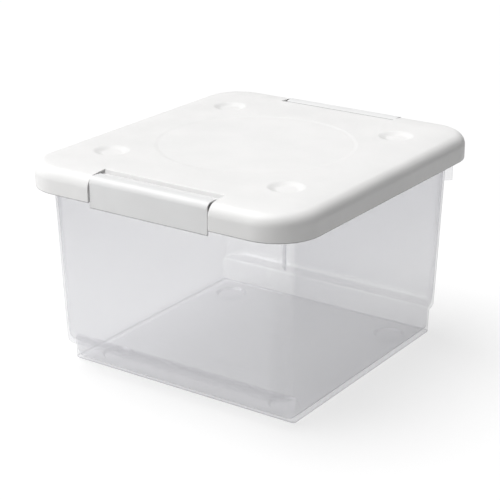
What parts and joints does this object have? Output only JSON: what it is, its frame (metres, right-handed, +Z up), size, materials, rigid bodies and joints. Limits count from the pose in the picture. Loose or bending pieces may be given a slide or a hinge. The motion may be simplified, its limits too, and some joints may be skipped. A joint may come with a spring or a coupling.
{
  "type": "latching storage tub",
  "caption": "Stackable see-through storage tub with a lift-off lid, held shut by a swinging latch at the front and one at the back.",
  "frame": {"origin": "centre of the tub's plan on the floor, level with the undersides of its four feet", "axes": "+Z up, -Y towards the front latch, +Y towards the back latch, +X to the right seen from the front"},
  "size_m": [0.39, 0.438, 0.272],
  "materials": {
    "clear_plastic": "frosted see-through polypropylene",
    "lid_plastic": "white, finely grained, satin",
    "latch_plastic": "white, finely grained, satin"
  },
  "bodies": {
    "tub": {"tub": "clear_plastic"},
    "lid": {"lid": "lid_plastic"},
    "latch_front": {"latch_front": "latch_plastic"},
    "latch_back": {"latch_back": "latch_plastic"}
  },
  "joints": [
    {"name": "lid_lift", "type": "slide", "parent": "tub", "child": "lid", "axis": [0, 0, 1], "range_m": [0, 0.12]},
    {"name": "latch_front_swing", "type": "hinge", "parent": "lid", "child": "latch_front", "pos_m": [0, -0.1913, 0.266], "axis": [-1, 0, 0], "range_deg": [0, 90]},
    {"name": "latch_back_swing", "type": "hinge", "parent": "lid", "child": "latch_back", "pos_m": [0, 0.1913, 0.266], "axis": [1, 0, 0], "range_deg": [0, 90]}
  ]
}
